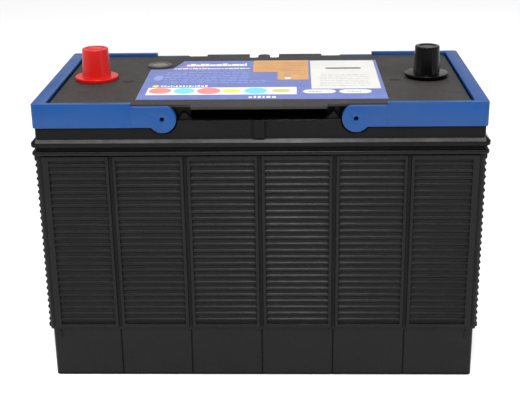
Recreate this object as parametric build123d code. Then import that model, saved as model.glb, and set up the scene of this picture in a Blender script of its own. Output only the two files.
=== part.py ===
from build123d import *

import math
import os

# Deep cycle battery of the Group 31 size, six cells in one moulded case.
# Millimetres. Origin at the centre of the base, +X along the case towards the
# negative post, +Y to the rear, +Z up.

# container
case_top = 184.0
band_half_x, band_half_y, band_top = 160.6, 83.4, 40.0
panel_half_x, panel_half_y, panel_bottom = 162.2, 83.8, 40.0
rib_bottom, rib_pitch, rib_count = 45.0, 5.15, 25
rib_depth, rib_low, frame_depth = 1.0, 0.1, 1.2
frame_side, frame_end, frame_top = 2.2, 4.6, 174.9
panel_pitch, panel_count, panel_gap = 54.0, 6, 3.0
corner_strip, corner_radius, band_radius = 4.4, 2.0, 2.6
rim_bottom, rim_top, rim_half_x, rim_half_y = 179.4, 182.4, 164.6, 86.0
wall, floor_top, partition = 3.2, 4.0, 2.0
rest_height, rest_width = 8.0, 3.0
tick_x, tick_bottom = 154.5, 32.5
cell_count = 6
cavity_half_x, cavity_half_y = band_half_x - wall, band_half_y - wall
cell_pitch = (2 * cavity_half_x + partition) / cell_count
cell_half = (cell_pitch - partition) / 2

# cover welded to the container
lip_bottom, lip_top, lip_slope, lip_half_x, lip_half_y = 185.4, 192.5, 3.6, 165.0, 86.5
ledge_top, ledge_half_x, ledge_half_y = 199.6, 161.5, 84.0
block_half_x, block_half_y, seam = 150.0, 79.0, 205.2
boss_half_x, boss_reach = 48.5, 60.0
headspace_low, headspace_high, headspace_half_x, headspace_half_y = 191.4, 201.6, 146.0, 66.0
vent_hole, vent_y = 7.0, -30.0

# manifold cover, the flat deck
deck_top, deck_under = 215.5, 213.6
deck_half_x, deck_half_y, deck_lip_y = 151.4, 79.2, 86.0
skirt, recess_y = 3.0, 71.0
tongue_half, tongue_y, notch_half, notch_y = 5.0, 85.4, 12.4, 72.6
mark_x, mark_y, mark_height = 103.0, -9.4, 0.5

# handles
pivot_x, pivot_z, eye_radius = 69.0, 206.0, 10.0
arm_in, arm_out, near_out = 80.2, 85.2, 85.0
bar_in, bar_out = 152.8, 162.6
handle_bottom, handle_top, near_top = 200.0, 217.6, 215.0
web, flange, gusset = 2.8, 2.6, 2.0
flange_start = 91.0
pin_radius, pin_length, pin_play, core_radius = 5.0, 8.0, 0.05, 1.65
eye_room = 0.9
stop_angle, stop_room = 126.0, 0.5
stop_top, stop_in, stop_out = 210.0, 79.4, 82.4

# lead posts on the standard 1 in 9 taper
positive_x, negative_x, post_top, post_foot = -129.0, 127.6, 238.0, 217.0
positive_radius, negative_radius, shank_radius = 8.75, 7.95, 7.4
bushing_radius, bushing_bottom, lead_fit = 13.0, 194.0, 0.05

# terminal caps
cap_top, cap_gap, brim_radius = 240.0, 0.35, 16.8
red_radius_top, red_radius_base, black_radius_top, black_radius_base = 10.05, 11.2, 9.4, 10.2
cap_bottom, red_brim_top, black_brim_top = 215.8, 218.3, 219.2

# charge indicator
eye_x, eye_y = -84.5, 43.0
bezel_radius, bezel_top, sleeve_radius, stem_radius = 9.9, 217.0, 8.0, 5.2
window_radius, rod_radius, rod_bottom = 6.6, 3.0, 177.8
ball_radius, ball_room, ball_rise, ball_travel = 2.2, 0.4, 25.0, 6.0
ball_x, ball_z = eye_x - 6.0, 172.4

# plates of the usual 143 mm width
plate_half, plate_bottom, plate_top = 71.5, 13.0, 150.0
positive_thick, negative_thick, plate_step, plate_number = 2.2, 1.6, 3.0, 17
envelope_skin, envelope_room = 0.5, 0.1
strap_y, strap_half_y, lug_half = 40.0, 9.0, 6.0
strap_bottom, strap_top, tab_top, tab_thick = 162.0, 168.0, 178.0, 3.0
weld_radius, weld_z, tab_room = 4.5, 172.0, 0.1

# labels
label_thick, sticker_thick = 0.3, 0.2


def block(x0, x1, y0, y1, z0, z1):
    size = Box(x1 - x0, y1 - y0, z1 - z0)
    return Pos((x0 + x1) / 2, (y0 + y1) / 2, (z0 + z1) / 2) * size


def slab(half_x, half_y, z0, z1, corner, edge=0.0):
    body = block(-half_x, half_x, -half_y, half_y, z0, z1)
    body = fillet(body.edges().filter_by(Axis.Z), corner)
    if edge > 0:
        faces = body.faces().sort_by(Axis.Z)
        body = fillet(faces[0].edges() + faces[-1].edges(), edge)
    return body


def upright(x, y, z0, z1, radius):
    return Pos(x, y, (z0 + z1) / 2) * Cylinder(radius, z1 - z0)


def along_y(x, z, y0, y1, radius):
    return Pos(x, (y0 + y1) / 2, z) * Rot(90, 0, 0) * Cylinder(radius, abs(y1 - y0))


def along_x(y, z, x0, x1, radius):
    return Pos((x0 + x1) / 2, y, z) * Rot(0, 90, 0) * Cylinder(radius, x1 - x0)


def taper(x, y, z0, z1, lower, upper):
    return Pos(x, y, (z0 + z1) / 2) * Cone(lower, upper, z1 - z0)


def side_plate(points, y0, y1):
    # outline in X and Z, thick in Y
    return Pos(0, y1, 0) * extrude(Plane.XZ * make_face(Polyline(*points, close=True)), amount=y1 - y0)


def flat_plate(points, z0, z1):
    return Pos(0, 0, z0) * extrude(make_face(Polyline(*points, close=True)), amount=z1 - z0)


def mirrored(shape):
    return mirror(shape, about=Plane.YZ)


# ---------------------------------------------------------------- container

def ribbed_strip(length, frame_left, frame_right):
    # horizontal ribs standing out towards -Y, running along +X from the origin
    points = [(1.0, panel_bottom + 1.2), (0, panel_bottom + 1.2), (-frame_depth, panel_bottom + 1.8)]
    points.append((-frame_depth, rib_bottom - 0.6))
    points.append((-rib_low, rib_bottom - 0.2))
    for index in range(rib_count):
        level = rib_bottom + index * rib_pitch
        points.append((-rib_low, level + 1.4))
        points.append((-rib_depth, level + 2.4))
        points.append((-rib_depth, level + 3.5))
        points.append((-rib_low, level + 4.5))
    points.append((-rib_low, frame_top))
    points.append((-frame_depth, frame_top + 0.4))
    points.append((-frame_depth, rim_bottom - 0.8))
    points.append((0, rim_bottom - 0.3))
    points.append((1.0, rim_bottom - 0.3))
    strip = extrude(Plane.YZ * make_face(Polyline(*points, close=True)), amount=length)
    if frame_left > 0:
        strip += block(0, frame_left, -frame_depth, 0.5, panel_bottom + 1.8, rim_bottom - 0.8)
    if frame_right > 0:
        strip += block(length - frame_right, length, -frame_depth, 0.5, panel_bottom + 1.8, rim_bottom - 0.8)
    return strip


def ribbed_panels():
    panels = []
    for index in range(panel_count):
        left = (index - panel_count / 2) * panel_pitch + panel_gap / 2
        right = left + panel_pitch - panel_gap
        left = max(left, -panel_half_x + corner_strip)
        right = min(right, panel_half_x - corner_strip)
        wide_left = frame_end if index == 0 else frame_side
        wide_right = frame_end if index == panel_count - 1 else frame_side
        panels.append(Pos(left, -panel_half_y, 0) * ribbed_strip(right - left, wide_left, wide_right))
        panels.append(Pos(right, panel_half_y, 0) * Rot(0, 0, 180) * ribbed_strip(right - left, wide_right, wide_left))
    # the end faces' ribs run out to the corners
    end_width = panel_half_y - corner_radius + 0.6 - panel_gap / 2
    near = -panel_gap / 2 - end_width
    for turn in (1, -1):
        framed_last = ribbed_strip(end_width, 0, frame_side)
        framed_first = ribbed_strip(end_width, frame_side, 0)
        panels.append(Pos(turn * panel_half_x, turn * near, 0) * Rot(0, 0, turn * 90) * framed_last)
        panels.append(Pos(turn * panel_half_x, turn * panel_gap / 2, 0) * Rot(0, 0, turn * 90) * framed_first)
    return panels


def cell_x(index):
    return (index - (cell_count - 1) / 2) * cell_pitch


def positive_side(index):
    # the positive strap is at the rear in the first cell, then changes sides
    return 1 if index % 2 == 0 else -1


def weld_y(index):
    return -positive_side(index) * strap_y


def make_container():
    case = slab(band_half_x, band_half_y, 0, band_top + 1, band_radius)
    case = chamfer(case.faces().sort_by(Axis.Z)[0].edges(), 0.8)
    case += slab(panel_half_x, panel_half_y, panel_bottom, case_top, corner_radius)
    case += slab(rim_half_x, rim_half_y, rim_bottom, rim_top, 3.5, 1.0)
    case += ribbed_panels()
    cuts = []
    for index in range(1, panel_count):
        x = (index - panel_count / 2) * panel_pitch
        for y in (-band_half_y, band_half_y):
            cuts.append(block(x - 0.6, x + 0.6, y - 0.6, y + 0.6, -1, panel_bottom))
    for index in range(cell_count):
        x = cell_x(index)
        cavity = block(x - cell_half, x + cell_half, -cavity_half_y, cavity_half_y, floor_top, case_top + 1)
        cuts.append(fillet(cavity.edges().filter_by(Axis.Z), 1.5))
    for index in range(cell_count - 1):
        x = cell_x(index) + cell_pitch / 2
        cuts.append(along_x(weld_y(index), weld_z, x - 2, x + 2, weld_radius + lead_fit))
    case -= cuts
    for x in (-tick_x, tick_x):
        case += block(x - 0.6, x + 0.6, -band_half_y - 0.5, -band_half_y + 1, tick_bottom, tick_bottom + 6)
        case += block(x - 0.6, x + 0.6, band_half_y - 1, band_half_y + 0.5, tick_bottom, tick_bottom + 6)
    rests = []
    for index in range(cell_count):
        x = cell_x(index)
        for y in (-54.0, -18.0, 18.0, 54.0):
            y0, y1 = y - rest_width / 2, y + rest_width / 2
            rests.append(block(x - cell_half, x + cell_half, y0, y1, floor_top - 1, floor_top + rest_height))
    return case + rests


# ---------------------------------------------------------------- cover

def four_pivots(y0, y1, radius):
    shapes = []
    for x in (-pivot_x, pivot_x):
        shapes.append(along_y(x, pivot_z, y0, y1, radius))
        shapes.append(along_y(x, pivot_z, -y1, -y0, radius))
    return shapes


def bearing_blocks(z0, z1):
    blocks = []
    for x in (-pivot_x, pivot_x):
        blocks.append(block(x - 9, x + 9, block_half_y - 12, block_half_y, z0, z1))
        blocks.append(block(x - 9, x + 9, -block_half_y, 12 - block_half_y, z0, z1))
    return blocks


def trunnion_bores():
    inner_end = arm_in - pin_length - 1.0
    return four_pivots(inner_end, arm_in + 1, pin_radius + pin_play)


def stop_wedges():
    # the slope faces an arm that is swung right up
    slope = math.radians(stop_angle)
    reach = near_top - pivot_z + stop_room

    def slope_x(z):
        return pivot_x - (reach - (z - pivot_z) * math.cos(slope)) / math.sin(slope)

    inner = boss_half_x - 1
    points = [(inner, seam - 1), (slope_x(seam), seam - 1), (slope_x(seam), seam)]
    points.append((slope_x(stop_top), stop_top))
    points.append((slope_x(stop_top) - 2.5, stop_top))
    points.append((inner, seam + 0.6))
    wedges = []
    for y0, y1 in ((stop_in, stop_out), (-stop_out, -stop_in)):
        wedge = side_plate(points, y0, y1)
        wedges.append(wedge)
        wedges.append(mirrored(wedge))
    return wedges


def make_cover():
    cover = slab(ledge_half_x, ledge_half_y, case_top, ledge_top, band_radius)
    lip = slab(lip_half_x, lip_half_y, lip_bottom, lip_top, 4.0)
    lip = chamfer(lip.faces().sort_by(Axis.Z)[-1].edges(), lip_slope)
    cover += fillet(lip.faces().sort_by(Axis.Z)[0].edges(), 1.6)
    cover += slab(block_half_x, block_half_y, ledge_top - 1, seam, 6.0)
    boss = block(-boss_reach, boss_reach, -ledge_half_y, ledge_half_y, ledge_top - 1, seam)
    cover += fillet(boss.edges().filter_by(Axis.Z), 1.0)
    cover += block(-4, 4, -ledge_half_y - 0.9, ledge_half_y + 0.9, lip_top - 1, seam)
    cover += stop_wedges()
    cuts = four_pivots(block_half_y, lip_half_y + 2, eye_radius + eye_room)
    cuts += trunnion_bores()
    for index in range(cell_count):
        x = cell_x(index)
        x0, x1 = x - cell_half, x + cell_half
        cuts.append(block(x0, x1, -cavity_half_y, cavity_half_y, case_top - 1, headspace_low))
        high_x0, high_x1 = max(x0, -headspace_half_x), min(x1, headspace_half_x)
        cuts.append(block(high_x0, high_x1, -headspace_half_y, headspace_half_y, case_top, headspace_high))
        cuts.append(upright(x, vent_y, headspace_high - 1, seam + 1, vent_hole))
    cover -= cuts
    hubs = [upright(x, 0, headspace_low, seam, bushing_radius + 3) for x in (positive_x, negative_x)]
    hubs.append(upright(eye_x, eye_y, headspace_low + 4, seam, sleeve_radius + 2.5))
    cover += hubs
    holes = [upright(x, 0, headspace_low - 1, seam + 1, bushing_radius + lead_fit) for x in (positive_x, negative_x)]
    holes.append(upright(eye_x, eye_y, headspace_low - 1, seam + 1, sleeve_radius + lead_fit))
    return cover - holes


# ---------------------------------------------------------------- manifold cover

def outline_with_recess(half_x, half_y, middle_y, middle_x, z0, z1, corner):
    body = slab(half_x, half_y, z0, z1, corner)
    body -= block(-middle_x, middle_x, middle_y, half_y + 9, z0 - 1, z1 + 1)
    body -= block(-middle_x, middle_x, -half_y - 9, -middle_y, z0 - 1, z1 + 1)
    return body


def make_manifold_cover():
    body = outline_with_recess(block_half_x, block_half_y, recess_y, boss_half_x, seam, deck_under, 6.0)
    inside = outline_with_recess(block_half_x - skirt, block_half_y - skirt, recess_y - skirt,
                                 boss_half_x + skirt, seam - 1, deck_under, 3.0)
    body -= inside
    body += bearing_blocks(seam, deck_under)
    # baffle walls that make the gas path long
    for index in range(cell_count - 1):
        x = cell_x(index) + cell_pitch / 2
        body += block(x - 1, x + 1, -recess_y + skirt, -6, seam, deck_under)
    body += block(-140, 140, -7, -5, seam + 2.5, deck_under)
    body += [upright(x, 0, seam, deck_under, bushing_radius + 3) for x in (positive_x, negative_x)]
    body += upright(eye_x, eye_y, seam, deck_under, sleeve_radius + 2.5)
    body += upright(0, recess_y - 15, seam + 2, deck_under, 11.0)
    body += block(-3, 3, recess_y - 10, recess_y, seam + 2, deck_under)
    plate = slab(deck_half_x, deck_half_y, deck_under, deck_top, 6.0)
    middle = block(-boss_half_x, boss_half_x, -deck_lip_y, deck_lip_y, deck_under, deck_top)
    plate += fillet(middle.edges().filter_by(Axis.Z), 1.2)
    notch = block(tongue_half, notch_half, notch_y, deck_lip_y + 1, deck_under - 1, deck_top + 1)
    notch = fillet(notch.edges().filter_by(Axis.Z).sort_by(Axis.Y)[:2], 2.5)
    tongue_end = block(-tongue_half - 1, tongue_half + 1, tongue_y - 5, deck_lip_y + 1, deck_under - 1, deck_top + 1)
    tongue_end -= upright(0, tongue_y - tongue_half, deck_under - 2, deck_top + 2, tongue_half)
    notches = [notch, mirrored(notch), tongue_end]
    body += plate
    # generic polarity marks, plus by the positive post and minus by the negative one
    body += block(-mark_x - 4, -mark_x + 4, mark_y - 1, mark_y + 1, deck_top, deck_top + mark_height)
    body += block(-mark_x - 1, -mark_x + 1, mark_y - 4, mark_y + 4, deck_top, deck_top + mark_height)
    body += block(mark_x - 4, mark_x + 4, mark_y - 1, mark_y + 1, deck_top, deck_top + mark_height)
    cuts = notches + trunnion_bores()
    cuts += [upright(x, 0, seam - 1, deck_top + 1, bushing_radius + 0.2) for x in (positive_x, negative_x)]
    cuts.append(upright(eye_x, eye_y, seam - 1, deck_top + 1, sleeve_radius + lead_fit))
    cuts.append(upright(0, recess_y - 15, seam + 1, deck_under - 2, 9.05))
    cuts.append(upright(0, recess_y - 15, deck_under - 2.5, deck_under - 0.2, 7.0))
    cuts.append(along_y(0, deck_under - 3.5, recess_y - 15, recess_y + 2, 1.6))
    return body - cuts


def make_flame_arrestor():
    return upright(0, recess_y - 15, deck_under - 5.2, deck_under - 2.05, 9.0)


# ---------------------------------------------------------------- handles

def u_frame(inner_x, inner_y, start, z0, z1, inner_corner):
    # plan of a U open towards -X
    outer = block(0, bar_out, -arm_out, arm_out, z0, z1)
    outer = fillet(outer.edges().filter_by(Axis.Z).filter_by(lambda e: e.center().X > 1), 2.6)
    inner = block(-9, inner_x, -inner_y, inner_y, z0 - 1, z1 + 1)
    inner = fillet(inner.edges().filter_by(Axis.Z).filter_by(lambda e: e.center().X > 1), inner_corner)
    return outer - inner - block(-1, start, -200, 200, z0 - 1, z1 + 1)


def handle_gussets():
    ribs = []
    low = handle_bottom + 3.0
    high = handle_top - 1.0
    for y in (-60.0, -30.0, 0.0, 30.0, 60.0):
        ribs.append(block(bar_in + 0.6, bar_out - 1, y - gusset / 2, y + gusset / 2, low, high))
    for x in (104.0, 124.0, 144.0):
        ribs.append(block(x - gusset / 2, x + gusset / 2, arm_in + 0.3, arm_out - 1, low, high))
        ribs.append(block(x - gusset / 2, x + gusset / 2, 1 - arm_out, -arm_in - 0.3, low, high))
    return ribs


def make_handle():
    handle = u_frame(bar_out - web, arm_out - web, flange_start, handle_bottom, handle_top, 1.2)
    handle += u_frame(bar_in, arm_in, flange_start, handle_top - flange, handle_top, 2.0)
    handle += handle_gussets()
    for side in (-1, 1):
        y0, y1 = sorted((side * arm_in, side * near_out))
        handle += block(pivot_x, flange_start + 1.5, y0, y1, handle_bottom, near_top)
        eye = along_y(pivot_x, pivot_z, y0, y1, eye_radius)
        handle += eye - block(0, 200, y0 - 1, y1 + 1, near_top, 300)
        handle += along_y(pivot_x, pivot_z, side * (arm_in - pin_length), side * (arm_in + 1), pin_radius)
        handle -= along_y(pivot_x, pivot_z, side * (arm_in - 6), side * (arm_out + 1), core_radius)
    return handle


# ---------------------------------------------------------------- terminals

def post_radius(top_radius, z):
    return top_radius + (post_top - z) / 18.0


def make_post(x, top_radius):
    post = upright(x, 0, strap_top, post_foot, shank_radius)
    post += taper(x, 0, post_foot, post_top, post_radius(top_radius, post_foot), top_radius)
    post = chamfer(post.faces().sort_by(Axis.Z)[-1].edges(), 0.6)
    return post + upright(x, 0, strap_top, strap_top + 2, shank_radius + 1.6)


def make_bushing(x):
    bushing = upright(x, 0, bushing_bottom, post_foot, bushing_radius)
    for z in (197.0, 201.0):
        ring = upright(x, 0, z, z + 1.2, bushing_radius + 1)
        bushing -= ring - upright(x, 0, z - 1, z + 3, bushing_radius - 1)
    return bushing - upright(x, 0, bushing_bottom - 1, post_foot + 1, shank_radius + lead_fit)


def cap_shell(x, base_radius, top_radius, brim_top):
    cone = taper(x, 0, brim_top - 1, cap_top, base_radius, top_radius)
    return fillet(cone.faces().sort_by(Axis.Z)[-1].edges(), 0.8)


def cap_hollow(x, top_radius):
    low = cap_bottom - 1
    inner_top = post_top + cap_gap
    hollow = taper(x, 0, low, inner_top, post_radius(top_radius, low) + cap_gap, top_radius + cap_gap)
    return hollow + upright(x, 0, low, post_foot + cap_gap, bushing_radius + 0.4)


def make_red_cap():
    x = positive_x
    cap = cap_shell(x, red_radius_base, red_radius_top, red_brim_top)
    brim = upright(x, 0, cap_bottom, red_brim_top, brim_radius)
    cap += fillet(brim.faces().sort_by(Axis.Z)[-1].edges(), 0.6)
    groove = upright(x, 0, cap_top - 0.5, cap_top + 1, 7.4) - upright(x, 0, cap_top - 1, cap_top + 2, 5.6)
    return cap - cap_hollow(x, positive_radius) - groove


def make_black_cap():
    x = negative_x
    cap = cap_shell(x, black_radius_base, black_radius_top, black_brim_top)
    brim = upright(x, 0, black_brim_top - 1.6, black_brim_top, brim_radius)
    cap += fillet(brim.faces().sort_by(Axis.Z)[-1].edges(), 0.6)
    cap += upright(x, 0, cap_bottom, black_brim_top - 1, brim_radius - 1.4)
    dish = upright(x, 0, cap_top - 0.5, cap_top + 1, 6.4)
    return cap - cap_hollow(x, negative_radius) - dish


# ---------------------------------------------------------------- charge indicator

def ball_end(distance):
    rise = math.radians(ball_rise)
    return ball_x + distance * math.cos(rise), ball_z + distance * math.sin(rise)


def make_indicator_housing():
    body = upright(eye_x, eye_y, 199.0, deck_top, sleeve_radius)
    body += upright(eye_x, eye_y, deck_top, bezel_top, bezel_radius)
    body = fillet(body.faces().sort_by(Axis.Z)[-1].edges(), 0.7)
    body += upright(eye_x, eye_y, 180.0, 200.0, stem_radius)
    ring = upright(eye_x, eye_y, 210.0, 212.2, sleeve_radius + 1) - upright(eye_x, eye_y, 209, 213, 6.9)
    body -= ring
    body -= upright(eye_x, eye_y, 179.0, bezel_top + 1, rod_radius + 0.05)
    return body - upright(eye_x, eye_y, deck_top - 0.8, bezel_top + 1, window_radius + 0.05)


def make_indicator_seal():
    return Pos(eye_x, eye_y, 211.1) * (Torus(7.45, 0.5))


def make_indicator_window():
    window = upright(eye_x, eye_y, deck_top - 0.8, bezel_top - 0.3, window_radius)
    return fillet(window.faces().sort_by(Axis.Z)[-1].edges(), 0.3)


def make_indicator_rod():
    rod = upright(eye_x, eye_y, rod_bottom, deck_top - 0.85, rod_radius)
    return chamfer(rod.faces().sort_by(Axis.Z)[0].edges(), 0.6)


def make_indicator_cage():
    cage = block(eye_x - 10.5, eye_x + 5, eye_y - 4.5, eye_y + 4.5, 168.8, 180.0)
    cage = fillet(cage.edges().filter_by(Axis.Z), 1.5)
    channel = ball_radius + ball_room
    start, end = ball_end(-0.3), ball_end(ball_travel + 0.3)
    length = ball_travel + 0.6
    middle = ((start[0] + end[0]) / 2, (start[1] + end[1]) / 2)
    bore = Pos(middle[0], eye_y, middle[1]) * Rot(0, 90 - ball_rise, 0) * Cylinder(channel, length)
    bore += Pos(start[0], eye_y, start[1]) * Sphere(channel)
    bore += Pos(end[0], eye_y, end[1]) * Sphere(channel)
    cage -= bore
    cage -= upright(eye_x, eye_y, rod_bottom - 1, 181, rod_radius + 0.05)
    return cage - along_y(middle[0], middle[1], eye_y - 6, eye_y + 6, 1.4)


def make_indicator_ball():
    return Pos(ball_x, eye_y, ball_z) * Sphere(ball_radius)


# ---------------------------------------------------------------- cells

def plate_set(index, first, thick, side):
    centre = cell_x(index)
    pieces = []
    for number in range(first, plate_number, 2):
        x = centre + (number - (plate_number - 1) / 2) * plate_step
        x0, x1 = x - thick / 2, x + thick / 2
        plate = block(x0, x1, -plate_half, plate_half, plate_bottom, plate_top)
        y = side * strap_y
        plate += block(x0, x1, y - lug_half, y + lug_half, plate_top - 1, strap_bottom + 1)
        pieces.append(plate)
    reach = 24.8
    strap = block(centre - reach, centre + reach, side * strap_y - strap_half_y, side * strap_y + strap_half_y,
                  strap_bottom, strap_top)
    return pieces[0].fuse(*pieces[1:]) + strap


def end_tab(index, towards, side):
    # upright tab against the partition, where the next cell is welded on
    face = cell_x(index) + towards * (cell_half - tab_room)
    x0, x1 = sorted((face, face - towards * tab_thick))
    y = side * strap_y
    return block(x0, x1, y - strap_half_y, y + strap_half_y, strap_bottom, tab_top)


def post_bar(x, side):
    y0, y1 = sorted((-side * 9.0, side * (strap_y - strap_half_y + 1)))
    return block(x - 9, x + 9, y0, y1, strap_bottom, strap_top)


def make_positive_plates(index):
    side = positive_side(index)
    plates = plate_set(index, 1, positive_thick, side)
    if index == 0:
        return plates + post_bar(positive_x, side)
    return plates + end_tab(index, -1, side)


def make_negative_plates(index):
    side = -positive_side(index)
    plates = plate_set(index, 0, negative_thick, side)
    if index == cell_count - 1:
        return plates + post_bar(negative_x, side)
    return plates + end_tab(index, 1, side)


def make_separators(index):
    centre = cell_x(index)
    envelopes = []
    for number in range(1, plate_number, 2):
        x = centre + (number - (plate_number - 1) / 2) * plate_step
        inner = positive_thick / 2 + envelope_room
        outer = inner + envelope_skin
        envelope = block(x - outer, x + outer, -plate_half - 2, plate_half + 2, plate_bottom - 0.8, plate_top + 3)
        envelope -= block(x - inner, x + inner, -plate_half - 1, plate_half + 1, plate_bottom - 0.2, plate_top + 4)
        envelopes.append(envelope)
    return Compound(children=envelopes)


def make_weld(index):
    x = cell_x(index) + cell_pitch / 2
    half = partition / 2 + tab_room
    return along_x(weld_y(index), weld_z, x - half, x + half, weld_radius)


# ---------------------------------------------------------------- labels

def make_main_label():
    points = [(-90, -66), (93, -67), (92.5, 59), (-66, 59), (-66.5, 55.5)]
    points += [(-72, 33.3), (-78, 30), (-90.4, 29)]
    return flat_plate(points, deck_top, deck_top + label_thick)


def make_white_sticker():
    z = deck_top + label_thick
    points = [(38.2, -37.3), (90.0, -37.3), (90.2, 56.0), (38.4, 56.8)]
    return flat_plate(points, z, z + sticker_thick)


def make_orange_sticker():
    z = deck_top + label_thick
    points = [(-8.2, 58.8), (-7.6, 17.6), (12.0, 17.6), (12.5, -8.6), (36.4, -9.0), (36.9, 58.8)]
    return flat_plate(points, z, z + sticker_thick)


def save(name, shape):
    export_step(shape, "parts/" + name + ".step")


os.makedirs("parts", exist_ok=True)
save("container", make_container())
save("cover", make_cover())
save("manifold_cover", make_manifold_cover())
save("flame_arrestor", make_flame_arrestor())
right_handle = make_handle()
save("handle_right", right_handle)
save("handle_left", mirrored(right_handle))
save("positive_post", make_post(positive_x, positive_radius))
save("negative_post", make_post(negative_x, negative_radius))
save("positive_bushing", make_bushing(positive_x))
save("negative_bushing", make_bushing(negative_x))
save("positive_cap_red", make_red_cap())
save("negative_cap_black", make_black_cap())
save("indicator_housing", make_indicator_housing())
save("indicator_seal_ring", make_indicator_seal())
save("indicator_window", make_indicator_window())
save("indicator_rod", make_indicator_rod())
save("indicator_cage", make_indicator_cage())
save("indicator_ball", make_indicator_ball())
save("label_main", make_main_label())
save("sticker_white", make_white_sticker())
save("sticker_orange", make_orange_sticker())
for cell in range(cell_count):
    label = "_cell_" + str(cell + 1)
    save("positive_plates" + label, make_positive_plates(cell))
    save("negative_plates" + label, make_negative_plates(cell))
    save("separators" + label, make_separators(cell))
for cell in range(cell_count - 1):
    save("cell_weld_" + str(cell + 1), make_weld(cell))
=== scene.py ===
import bpy
import bmesh
import math
import random
from mathutils import Matrix, Vector


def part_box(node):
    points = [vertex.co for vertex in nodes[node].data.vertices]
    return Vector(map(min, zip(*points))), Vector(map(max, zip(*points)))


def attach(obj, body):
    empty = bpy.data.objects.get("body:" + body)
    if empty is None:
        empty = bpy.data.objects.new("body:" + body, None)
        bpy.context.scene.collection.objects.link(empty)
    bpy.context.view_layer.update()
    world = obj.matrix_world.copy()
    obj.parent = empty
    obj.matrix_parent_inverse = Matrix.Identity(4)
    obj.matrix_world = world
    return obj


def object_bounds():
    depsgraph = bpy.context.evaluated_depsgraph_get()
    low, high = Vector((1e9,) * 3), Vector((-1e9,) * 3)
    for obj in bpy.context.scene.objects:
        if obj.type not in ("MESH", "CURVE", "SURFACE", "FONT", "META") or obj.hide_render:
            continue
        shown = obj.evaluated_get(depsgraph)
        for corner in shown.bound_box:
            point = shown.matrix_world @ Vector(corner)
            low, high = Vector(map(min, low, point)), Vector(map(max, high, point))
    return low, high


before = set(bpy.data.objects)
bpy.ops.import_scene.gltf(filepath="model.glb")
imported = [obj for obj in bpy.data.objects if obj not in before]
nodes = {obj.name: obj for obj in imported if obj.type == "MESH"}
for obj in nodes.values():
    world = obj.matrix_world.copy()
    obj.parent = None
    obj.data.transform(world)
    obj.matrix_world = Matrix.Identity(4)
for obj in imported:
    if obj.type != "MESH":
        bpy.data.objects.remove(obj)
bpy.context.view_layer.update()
random.seed(31)

MM = 0.001
BUMP_HEIGHT = 0.2 * MM
WELD_REACH = 0.01 * MM
FLAT_ANGLE = math.radians(0.6)
ROUND_ANGLE = math.radians(32)
SHARP_ANGLE = math.radians(35)
DECK_EDGE = 1.85 * MM
FLOOR_GAP = 0.2 * MM


# ---------------------------------------------------------------- node helpers

def new_material(name):
    material = bpy.data.materials.new(name)
    material.use_nodes = True
    tree = material.node_tree
    shader = tree.nodes["Principled BSDF"]
    return material, tree, shader


def link(tree, a, a_socket, b, b_socket):
    tree.links.new(a.outputs[a_socket], b.inputs[b_socket])


def coordinates(tree, stretch=(1, 1, 1)):
    place = tree.nodes.new("ShaderNodeTexCoord")
    mapping = tree.nodes.new("ShaderNodeMapping")
    mapping.inputs["Scale"].default_value = stretch
    link(tree, place, "Object", mapping, "Vector")
    return mapping


def noise(tree, where, scale, detail=3.0, rough=0.55):
    node = tree.nodes.new("ShaderNodeTexNoise")
    node.inputs["Scale"].default_value = scale
    node.inputs["Detail"].default_value = detail
    node.inputs["Roughness"].default_value = rough
    link(tree, where, "Vector", node, "Vector")
    return node


def ramp(tree, source, socket, low, high, out_low=0.0, out_high=1.0):
    node = tree.nodes.new("ShaderNodeMapRange")
    node.inputs["From Min"].default_value = low
    node.inputs["From Max"].default_value = high
    node.inputs["To Min"].default_value = out_low
    node.inputs["To Max"].default_value = out_high
    link(tree, source, socket, node, "Value")
    return node


def mix(tree, first, second, factor=None, blend="MIX"):
    """first and second are colours or (node, socket); factor is (node, socket) or a number."""
    node = tree.nodes.new("ShaderNodeMix")
    node.data_type = "RGBA"
    node.blend_type = blend
    for value, socket in ((first, 6), (second, 7)):
        if isinstance(value[0], bpy.types.Node):
            tree.links.new(value[0].outputs[value[1]], node.inputs[socket])
        else:
            node.inputs[socket].default_value = (*value[:3], 1.0)
    if isinstance(factor, tuple):
        tree.links.new(factor[0].outputs[factor[1]], node.inputs[0])
    else:
        node.inputs[0].default_value = factor
    return node


def edge_mask(tree, radius, low=0.02, high=0.25):
    """bright where a rounded edge would turn the surface."""
    rounded = tree.nodes.new("ShaderNodeBevel")
    rounded.samples = 4
    rounded.inputs["Radius"].default_value = radius
    plain = tree.nodes.new("ShaderNodeNewGeometry")
    dot = tree.nodes.new("ShaderNodeVectorMath")
    dot.operation = "DOT_PRODUCT"
    link(tree, rounded, "Normal", dot, 0)
    link(tree, plain, "Normal", dot, 1)
    return ramp(tree, dot, "Value", 1.0 - low, 1.0 - high)


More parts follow.
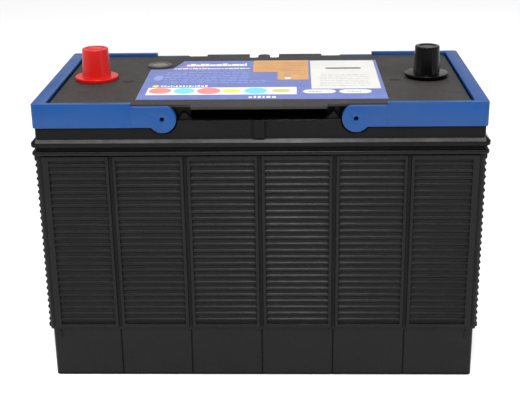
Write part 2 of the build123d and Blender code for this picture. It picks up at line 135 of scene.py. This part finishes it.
def moulded(name, base, rough, grain=0.12, grain_scale=2600.0, mottle=0.18, wear=0.25,
            wear_colour=(0.3, 0.3, 0.3), dust=0.0, specular=0.5, scratches=0.05, soft=0.0, crevice_shade=0.0):
    """injection moulded plastic, or another plain solid surface with a fine grain."""
    material, tree, shader = new_material(name)
    where = coordinates(tree)
    cloud = noise(tree, where, 26.0, 5.0, 0.6)
    low = tuple(c * (1 - mottle) for c in base)
    high = tuple(min(1.0, c * (1 + mottle)) for c in base)
    tone = ramp(tree, cloud, "Fac", 0.3, 0.7)
    colour = mix(tree, low, high, (tone, "Result"))
    last = (colour, 2)
    if wear > 0:
        edges = edge_mask(tree, 0.0007)
        patches = ramp(tree, noise(tree, where, 190.0, 4.0), "Fac", 0.42, 0.72, 0.0, wear)
        both = tree.nodes.new("ShaderNodeMath")
        both.operation = "MULTIPLY"
        link(tree, edges, "Result", both, 0)
        link(tree, patches, "Result", both, 1)
        last = (mix(tree, last, wear_colour, (both, "Value")), 2)
    if dust > 0:
        geometry = tree.nodes.new("ShaderNodeNewGeometry")
        split = tree.nodes.new("ShaderNodeSeparateXYZ")
        link(tree, geometry, "Normal", split, 0)
        upward = ramp(tree, split, "Z", 0.4, 1.0)
        flecks = ramp(tree, noise(tree, where, 700.0, 6.0, 0.7), "Fac", 0.5, 0.8, 0.0, dust)
        both = tree.nodes.new("ShaderNodeMath")
        both.operation = "MULTIPLY"
        link(tree, upward, "Result", both, 0)
        link(tree, flecks, "Result", both, 1)
        last = (mix(tree, last, (0.42, 0.4, 0.37), (both, "Value")), 2)
    tree.links.new(last[0].outputs[last[1]], shader.inputs["Base Color"])
    smudge = noise(tree, where, 55.0, 6.0, 0.65)
    gloss = ramp(tree, smudge, "Fac", 0.3, 0.75, max(0.03, rough - 0.06), min(1.0, rough + 0.09))
    link(tree, gloss, "Result", shader, "Roughness")
    fine = noise(tree, where, grain_scale, 2.0, 0.5)
    bump = tree.nodes.new("ShaderNodeBump")
    bump.inputs["Strength"].default_value = grain
    bump.inputs["Distance"].default_value = BUMP_HEIGHT
    link(tree, fine, "Fac", bump, "Height")
    if soft > 0:
        rounded = tree.nodes.new("ShaderNodeBevel")
        rounded.samples = 8
        rounded.inputs["Radius"].default_value = soft
        link(tree, rounded, "Normal", bump, "Normal")
    if scratches > 0:
        thin = noise(tree, coordinates(tree, (30, 30, 900)), 1.0, 3.0)
        lines = tree.nodes.new("ShaderNodeBump")
        lines.inputs["Strength"].default_value = scratches
        lines.inputs["Distance"].default_value = BUMP_HEIGHT
        link(tree, thin, "Fac", lines, "Height")
        link(tree, bump, "Normal", lines, "Normal")
        bump = lines
    link(tree, bump, "Normal", shader, "Normal")
    shader.inputs["Specular IOR Level"].default_value = specular
    # painted shade: ambient occlusion dims the specular reflection in grooves, rib valleys and other recesses, so
    # they read darker
    if crevice_shade > 0:
        painted_shade_ao = tree.nodes.new("ShaderNodeAmbientOcclusion")
        painted_shade_ao.samples = 6
        painted_shade_ao.inputs["Distance"].default_value = crevice_shade
        shaded_specular = ramp(tree, painted_shade_ao, "AO", 0.55, 0.97, 0.1 * specular, specular)
        link(tree, shaded_specular, "Result", shader, "Specular IOR Level")
    return material


def printed(name, base, rough=0.38, mottle=0.05, fibre=0.04):
    """ink on plastic film, with a slight ripple and ink variation."""
    material, tree, shader = new_material(name)
    where = coordinates(tree)
    low = tuple(c * (1 - mottle) for c in base)
    high = tuple(min(1.0, c * (1 + mottle)) for c in base)
    tone = ramp(tree, noise(tree, where, 60.0, 5.0), "Fac", 0.3, 0.7)
    first = mix(tree, low, high, (tone, "Result"))
    speck = ramp(tree, noise(tree, where, 2400.0, 2.0), "Fac", 0.55, 0.8, 0.0, fibre * 4)
    second = mix(tree, (first, 2), tuple(min(1.0, c * 1.25 + 0.03) for c in base), (speck, "Result"))
    link(tree, second, 2, shader, "Base Color")
    gloss = ramp(tree, noise(tree, where, 90.0, 5.0), "Fac", 0.3, 0.7, rough - 0.05, rough + 0.08)
    link(tree, gloss, "Result", shader, "Roughness")
    bump = tree.nodes.new("ShaderNodeBump")
    bump.inputs["Strength"].default_value = 0.12
    bump.inputs["Distance"].default_value = BUMP_HEIGHT
    link(tree, noise(tree, where, 320.0, 3.0), "Fac", bump, "Height")
    link(tree, bump, "Normal", shader, "Normal")
    shader.inputs["Specular IOR Level"].default_value = 0.45
    return material


def lead_metal(name, base, rough, tint):
    """cast lead with a cloudy oxide skin."""
    material, tree, shader = new_material(name)
    where = coordinates(tree)
    clouds = ramp(tree, noise(tree, where, 120.0, 8.0, 0.7), "Fac", 0.35, 0.65)
    colour = mix(tree, base, tint, (clouds, "Result"))
    link(tree, colour, 2, shader, "Base Color")
    gloss = ramp(tree, noise(tree, where, 300.0, 5.0), "Fac", 0.3, 0.7, rough - 0.1, rough + 0.15)
    link(tree, gloss, "Result", shader, "Roughness")
    bump = tree.nodes.new("ShaderNodeBump")
    bump.inputs["Strength"].default_value = 0.35
    bump.inputs["Distance"].default_value = 0.0003
    link(tree, noise(tree, where, 900.0, 6.0, 0.7), "Fac", bump, "Height")
    link(tree, bump, "Normal", shader, "Normal")
    shader.inputs["Metallic"].default_value = 0.85
    return material


def pasted_grid(name, paste, grid):
    """cast lead grid with paste in its windows."""
    material, tree, shader = new_material(name)
    where = coordinates(tree)
    bricks = tree.nodes.new("ShaderNodeTexBrick")
    bricks.offset = 0.0
    bricks.inputs["Scale"].default_value = 1.0
    bricks.inputs["Brick Width"].default_value = 0.009
    bricks.inputs["Row Height"].default_value = 0.006
    bricks.inputs["Mortar Size"].default_value = 0.0006
    bricks.inputs["Color1"].default_value = (*paste, 1)
    bricks.inputs["Color2"].default_value = (*[c * 0.85 for c in paste], 1)
    bricks.inputs["Mortar"].default_value = (*grid, 1)
    swap = tree.nodes.new("ShaderNodeSeparateXYZ")
    join = tree.nodes.new("ShaderNodeCombineXYZ")
    link(tree, where, "Vector", swap, 0)
    link(tree, swap, "Y", join, "X")
    link(tree, swap, "Z", join, "Y")
    link(tree, join, "Vector", bricks, "Vector")
    stain = ramp(tree, noise(tree, where, 150.0, 6.0), "Fac", 0.4, 0.7, 0.0, 0.35)
    colour = mix(tree, (bricks, "Color"), tuple(c * 0.5 for c in paste), (stain, "Result"))
    link(tree, colour, 2, shader, "Base Color")
    shader.inputs["Roughness"].default_value = 0.75
    bump = tree.nodes.new("ShaderNodeBump")
    bump.inputs["Strength"].default_value = 0.5
    bump.inputs["Distance"].default_value = 0.0003
    link(tree, noise(tree, where, 1200.0, 5.0), "Fac", bump, "Height")
    link(tree, bump, "Normal", shader, "Normal")
    return material


def clear_plastic(name, tint, rough):
    material, tree, shader = new_material(name)
    where = coordinates(tree)
    colour = mix(tree, tint, tuple(c * 0.8 for c in tint),
                 (ramp(tree, noise(tree, where, 200.0, 4.0), "Fac", 0.4, 0.7), "Result"))
    link(tree, colour, 2, shader, "Base Color")
    gloss = ramp(tree, noise(tree, where, 400.0, 4.0), "Fac", 0.3, 0.7, rough, rough + 0.12)
    link(tree, gloss, "Result", shader, "Roughness")
    shader.inputs["Transmission Weight"].default_value = 0.55
    shader.inputs["IOR"].default_value = 1.49
    return material


case_black = moulded("case_black", (0.004, 0.004, 0.0046), 0.26, grain=0.02, grain_scale=1900.0,
                     mottle=0.25, wear=0.0, specular=0.17, scratches=0.0, soft=0.0009, crevice_shade=0.004)
cover_black = moulded("cover_black", (0.003, 0.003, 0.0034), 0.16, grain=0.02, grain_scale=1900.0,
                      mottle=0.25, wear=0.0, specular=0.11, scratches=0.0, soft=0.0007, crevice_shade=0.012)
deck_grey = moulded("deck_grey", (0.03, 0.0268, 0.026), 0.66, grain=0.5, grain_scale=1500.0, mottle=0.1,
                    wear=0.25, wear_colour=(0.16, 0.15, 0.145), dust=0.15, scratches=0.0, specular=0.18)
handle_blue = moulded("handle_blue", (0.0042, 0.053, 0.202), 0.42, grain=0.18, grain_scale=1700.0,
                      mottle=0.08, wear=0.4, wear_colour=(0.1, 0.22, 0.42), dust=0.05, scratches=0.04, specular=0.3)
cap_red = moulded("cap_red", (0.5, 0.0045, 0.0015), 0.34, grain=0.12, mottle=0.08, wear=0.2,
                  wear_colour=(0.85, 0.2, 0.15), scratches=0.02, specular=0.35)
cap_black = moulded("cap_black", (0.0012, 0.0012, 0.0012), 0.2, grain=0.1, mottle=0.2, wear=0.15,
                    wear_colour=(0.04, 0.04, 0.04), scratches=0.0, specular=0.14)
indicator_grey = moulded("indicator_grey", (0.06, 0.056, 0.053), 0.45, grain=0.15, wear=0.3, specular=0.3)
porous_disc = moulded("porous_disc", (0.6, 0.57, 0.52), 0.8, grain=0.9, grain_scale=900.0,
                      wear=0.0, scratches=0.0)
rubber_black = moulded("rubber_black", (0.015, 0.015, 0.015), 0.75, grain=0.3, wear=0.0, scratches=0.0)
cage_black = moulded("cage_black", (0.02, 0.02, 0.02), 0.5, wear=0.2)
ball_green = moulded("ball_green", (0.02, 0.3, 0.04), 0.3, wear=0.0)
separator_white = moulded("separator_white", (0.62, 0.62, 0.56), 0.6, grain=0.4, grain_scale=1200.0, wear=0.0)
window_clear = clear_plastic("window_clear", (0.16, 0.16, 0.16), 0.12)
rod_clear = clear_plastic("rod_clear", (0.8, 0.85, 0.85), 0.03)
lead_grey = lead_metal("lead_grey", (0.32, 0.32, 0.34), 0.45, (0.2, 0.2, 0.21))
plate_brown = pasted_grid("plate_brown", (0.1, 0.04, 0.025), (0.22, 0.2, 0.19))
plate_grey = pasted_grid("plate_grey", (0.2, 0.21, 0.22), (0.3, 0.3, 0.31))
label_blue = printed("label_blue", (0.1, 0.136, 0.375))
sticker_white = printed("sticker_white", (0.6, 0.595, 0.565), 0.45)
sticker_orange = printed("sticker_orange", (0.5, 0.255, 0.085), 0.4, 0.1, 0.06)
ink_white = printed("ink_white", (0.7, 0.7, 0.73))
ink_pale = printed("ink_pale", (0.2, 0.25, 0.53))
ink_red = printed("ink_red", (0.85, 0.2, 0.18))
ink_cyan = printed("ink_cyan", (0.12, 0.55, 0.85))
ink_yellow = printed("ink_yellow", (0.75, 0.62, 0.04))
ink_olive = printed("ink_olive", (0.5, 0.46, 0.12))
ink_dark = printed("ink_dark", (0.12, 0.12, 0.12))
ink_grey = printed("ink_grey", (0.46, 0.46, 0.45))
ink_brown = printed("ink_brown", (0.42, 0.22, 0.1))
ink_slate = printed("ink_slate", (0.3, 0.28, 0.42))

finishes = {
    "container": case_black, "cover": cover_black, "manifold_cover": deck_grey, "flame_arrestor": porous_disc,
    "handle_right": handle_blue, "handle_left": handle_blue, "positive_cap_red": cap_red,
    "negative_cap_black": cap_black, "indicator_housing": indicator_grey, "indicator_seal_ring": rubber_black,
    "indicator_window": window_clear, "indicator_rod": rod_clear, "indicator_cage": cage_black,
    "indicator_ball": ball_green, "label_main": label_blue, "sticker_white": sticker_white,
    "sticker_orange": sticker_orange,
}


def finish_for(name):
    if name in finishes:
        return finishes[name]
    if name.startswith("positive_plates"):
        return plate_brown
    if name.startswith("negative_plates"):
        return plate_grey
    if name.startswith("separators"):
        return separator_white
    return lead_grey


rounding = {"manifold_cover": 0.3, "handle_right": 0.45, "handle_left": 0.45,
            "positive_cap_red": 0.25, "negative_cap_black": 0.25, "indicator_housing": 0.15}

# the walls under the deck are moulded in the cover's gloss black
deck_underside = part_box("label_main")[0].z - DECK_EDGE
for name, node in nodes.items():
    node.data.materials.clear()
    node.data.materials.append(finish_for(name))
    if name == "manifold_cover":
        node.data.materials.append(cover_black)
    for polygon in node.data.polygons:
        below_deck = name == "manifold_cover" and polygon.center.z < deck_underside
        polygon.material_index = 1 if below_deck else 0
        polygon.use_smooth = True
    if name in rounding:
        weld = node.modifiers.new("weld", "WELD")
        weld.merge_threshold = WELD_REACH
        flat = node.modifiers.new("flat", "DECIMATE")
        flat.decimate_type = "DISSOLVE"
        flat.angle_limit = FLAT_ANGLE
        bevel = node.modifiers.new("round", "BEVEL")
        bevel.width = rounding[name] * MM
        bevel.segments = 2
        bevel.limit_method = "ANGLE"
        bevel.angle_limit = ROUND_ANGLE
        bevel.use_clamp_overlap = True
        bevel.harden_normals = True
    else:
        node.data.set_sharp_from_angle(angle=SHARP_ANGLE)


# ---------------------------------------------------------------- printed artwork

deck_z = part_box("label_main")[1].z
sticker_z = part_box("sticker_white")[1].z
INK = 0.05 * MM


def outline_piece(name, shapes, material, base_z, body="battery"):
    """flat inked shapes, each a closed outline in millimetres, as thin raised film."""
    mesh = bpy.data.meshes.new(name)
    bm = bmesh.new()
    for outline in shapes:
        low = [bm.verts.new((x * MM, y * MM, base_z)) for x, y in outline]
        high = [bm.verts.new((x * MM, y * MM, base_z + INK)) for x, y in outline]
        bm.faces.new(high)
        bm.faces.new(list(reversed(low)))
        for i in range(len(outline)):
            j = (i + 1) % len(outline)
            bm.faces.new((low[i], low[j], high[j], high[i]))
    bmesh.ops.recalc_face_normals(bm, faces=bm.faces)
    bm.to_mesh(mesh)
    bm.free()
    mesh.materials.append(material)
    piece = bpy.data.objects.new(name, mesh)
    bpy.context.scene.collection.objects.link(piece)
    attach(piece, body)
    return piece


def rectangle(x0, x1, y0, y1):
    return [(x0, y0), (x1, y0), (x1, y1), (x0, y1)]


def ellipse(x, y, rx, ry, count=40):
    return [(x + rx * math.cos(2 * math.pi * k / count), y + ry * math.sin(2 * math.pi * k / count))
            for k in range(count)]


def pill(x0, x1, y0, y1, count=12):
    r = (y1 - y0) / 2
    cy = (y0 + y1) / 2
    right = [(x1 - r + r * math.sin(math.pi * k / count), cy - r * math.cos(math.pi * k / count))
             for k in range(count + 1)]
    left = [(x0 + r - r * math.sin(math.pi * k / count), cy + r * math.cos(math.pi * k / count))
            for k in range(count + 1)]
    return right + left


def dashes(x0, x1, y0, y1, shortest, longest, gap):
    """a row of plain dashes that stands for a line of print."""
    row = []
    x = x0
    while x < x1:
        width = random.uniform(shortest, longest)
        tall = (y1 - y0) * random.uniform(0.6, 1.0)
        row.append(rectangle(x, min(x + width, x1), y0, y0 + tall))
        x += width + gap
    return row


INK_LAYER = 0.02 * MM


def paint():
    z = deck_z + INK_LAYER
    outline_piece("print_strip", [rectangle(-84.6, 27.0, -53.0, -31.4)], ink_white, z)
    header = dashes(-62.4, -13.3, 40.0, 49.0, 2.6, 6.4, 0.4)
    header += dashes(-71.5, -10.0, 29.6, 33.0, 1.8, 4.6, 0.5)
    header += [pill(31.7, 56.0, -50.5, -39.5), pill(58.4, 82.3, -51.0, -40.0)]
    header += dashes(-8.0, 13.0, -63.0, -57.0, 1.4, 3.0, 1.2)
    header += dashes(-75.8, -39.8, -28.6, -24.0, 1.0, 2.4, 0.8)
    outline_piece("print_header", header, ink_white, z)
    outline_piece("print_header_rule", [rectangle(-66.0, -44.0, 36.6, 38.0)], ink_red, z)
    text = []
    for row in range(8):
        y = 23.5 - 5.6 * row
        right = -10.0 if row < 6 else 3.0
        text += dashes(-76.0 if row > 0 else -70.0, right, y - 1.4, y + 1.2, 2.5, 8.0, 1.3)
    text += [ellipse(-80.6, -0.5, 3.6, 8.5)]
    outline_piece("print_small_text", text, ink_pale, z)
    outline_piece("print_mark_dot", [ellipse(-79.8, -26.6, 2.6, 3.2)], ink_yellow, z)
    z += INK + INK_LAYER
    red = [ellipse(-74.9, -41.0, 8.5, 8.6), ellipse(-38.4, -41.9, 8.7, 9.4)]
    outline_piece("print_discs_red", red, ink_red, z)
    blue = [ellipse(-56.9, -41.4, 7.8, 8.6), ellipse(-3.5, -42.2, 8.5, 9.0)]
    outline_piece("print_discs_blue", blue, ink_cyan, z)
    outline_piece("print_block_yellow", [pill(-28.5, -14.5, -47.0, -37.0)], ink_yellow, z)
    outline_piece("print_block_olive", [pill(8.5, 22.5, -47.5, -37.5)], ink_olive, z)
    pills = dashes(36.0, 45.5, -46.8, -43.4, 1.5, 2.6, 0.6) + dashes(64.5, 75.0, -47.4, -43.8, 1.5, 2.6, 0.6)
    outline_piece("print_pill_text", pills, ink_slate, z)
    z = sticker_z + INK_LAYER
    outline_piece("print_sticker_bar", [pill(50.0, 79.0, 26.5, 31.5)], ink_dark, z)
    rows = dashes(46.0, 81.0, 4.5, 7.5, 2.0, 5.0, 1.0)
    for row in range(6):
        y = -0.5 - 5.6 * row
        rows += dashes(45.0, 83.0, y - 1.0, y + 1.0, 2.0, 6.0, 1.0)
    outline_piece("print_white_rows", rows, ink_grey, z)
    orange_rows = []
    for row in range(6):
        y = 52.0 - 6.0 * row
        orange_rows += dashes(-5.0, 34.0, y - 0.8, y + 0.8, 2.5, 6.0, 1.4)
    orange_rows += [ellipse(20.3, 6.5, 2.8, 6.0)]
    outline_piece("print_orange_rows", orange_rows, ink_brown, z)
    outline_piece("print_orange_spot", [ellipse(20.3, -3.6, 2.6, 2.6)], ink_white, z)


paint()


# ---------------------------------------------------------------- surroundings

def studio():
    mesh = bpy.data.meshes.new("floor")
    mesh.from_pydata([(-6, -6, 0), (6, -6, 0), (6, 6, 0), (-6, 6, 0)], [], [(0, 1, 2, 3)])
    floor = bpy.data.objects.new("floor", mesh)
    bpy.context.scene.collection.objects.link(floor)
    material, tree, shader = new_material("floor_white")
    shader.inputs["Base Color"].default_value = (0.93, 0.93, 0.93, 1)
    shader.inputs["Roughness"].default_value = 0.9
    shader.inputs["Emission Color"].default_value = (1, 1, 1, 1)
    shader.inputs["Emission Strength"].default_value = 0.3
    mesh.materials.append(material)
    floor.location.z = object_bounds()[0].z - FLOOR_GAP
    world = bpy.data.worlds.new("world")
    bpy.context.scene.world = world
    world.use_nodes = True
    tree = world.node_tree
    background = tree.nodes["Background"]
    direction = tree.nodes.new("ShaderNodeTexCoord")
    split = tree.nodes.new("ShaderNodeSeparateXYZ")
    link(tree, direction, "Generated", split, 0)
    # the room is dim in front of the object and bright behind and above it
    front = ramp(tree, split, "Y", -0.9, 0.1, 0.12, 0.7)
    link(tree, front, "Result", background, "Strength")
    background.inputs["Color"].default_value = (1, 1, 1, 1)


def area_light(name, place, target, width, height, power):
    light = bpy.data.lights.new(name, "AREA")
    light.shape = "RECTANGLE"
    light.size = width
    light.size_y = height
    light.energy = power
    lamp = bpy.data.objects.new(name, light)
    bpy.context.scene.collection.objects.link(lamp)
    lamp.location = place
    aim = Vector(target) - Vector(place)
    lamp.rotation_euler = aim.to_track_quat("-Z", "Y").to_euler()
    return lamp


def photo_camera():
    yaw, pitch, roll = math.radians(-1.8957), math.radians(20.4183), math.radians(-0.8523)
    forward = Vector((math.sin(yaw) * math.cos(pitch), math.cos(yaw) * math.cos(pitch), -math.sin(pitch)))
    right = Vector((math.cos(yaw), -math.sin(yaw), 0))
    up = right.cross(forward)
    side = right * math.cos(roll) + up * math.sin(roll)
    top = up * math.cos(roll) - right * math.sin(roll)
    camera = bpy.data.objects.new("camera", bpy.data.cameras.new("camera"))
    bpy.context.scene.collection.objects.link(camera)
    turn = Matrix((side, top, -forward)).transposed()
    camera.matrix_world = Matrix.Translation((0.024386, -0.824507, 0.414253)) @ turn.to_4x4()
    camera.data.sensor_width = 36.0
    camera.data.lens = 74.79
    camera.data.clip_start = 0.01
    bpy.context.scene.camera = camera


studio()
area_light("lip_softbox", (0.0, -0.48, 1.5), (0, -0.08, 0.19), 1.5, 0.14, 13.0)
area_light("front_strip", (0.03, -0.8, 1.1), (0, 0, 0.12), 0.07, 0.9, 6.0)
area_light("front_panel", (-0.1, -0.85, 1.0), (0, 0, 0.12), 0.9, 0.4, 4.0)
area_light("rear_softbox", (-0.1, 0.9, 1.45), (0, 0, 0.1), 0.8, 0.6, 1.0)
area_light("left_softbox", (-1.5, -0.7, 0.8), (0, 0, 0.12), 0.5, 0.9, 3.5)
area_light("right_softbox", (1.4, -0.9, 0.6), (0, 0, 0.12), 0.3, 0.8, 2.5)
photo_camera()
bpy.context.scene.view_settings.view_transform = "Standard"
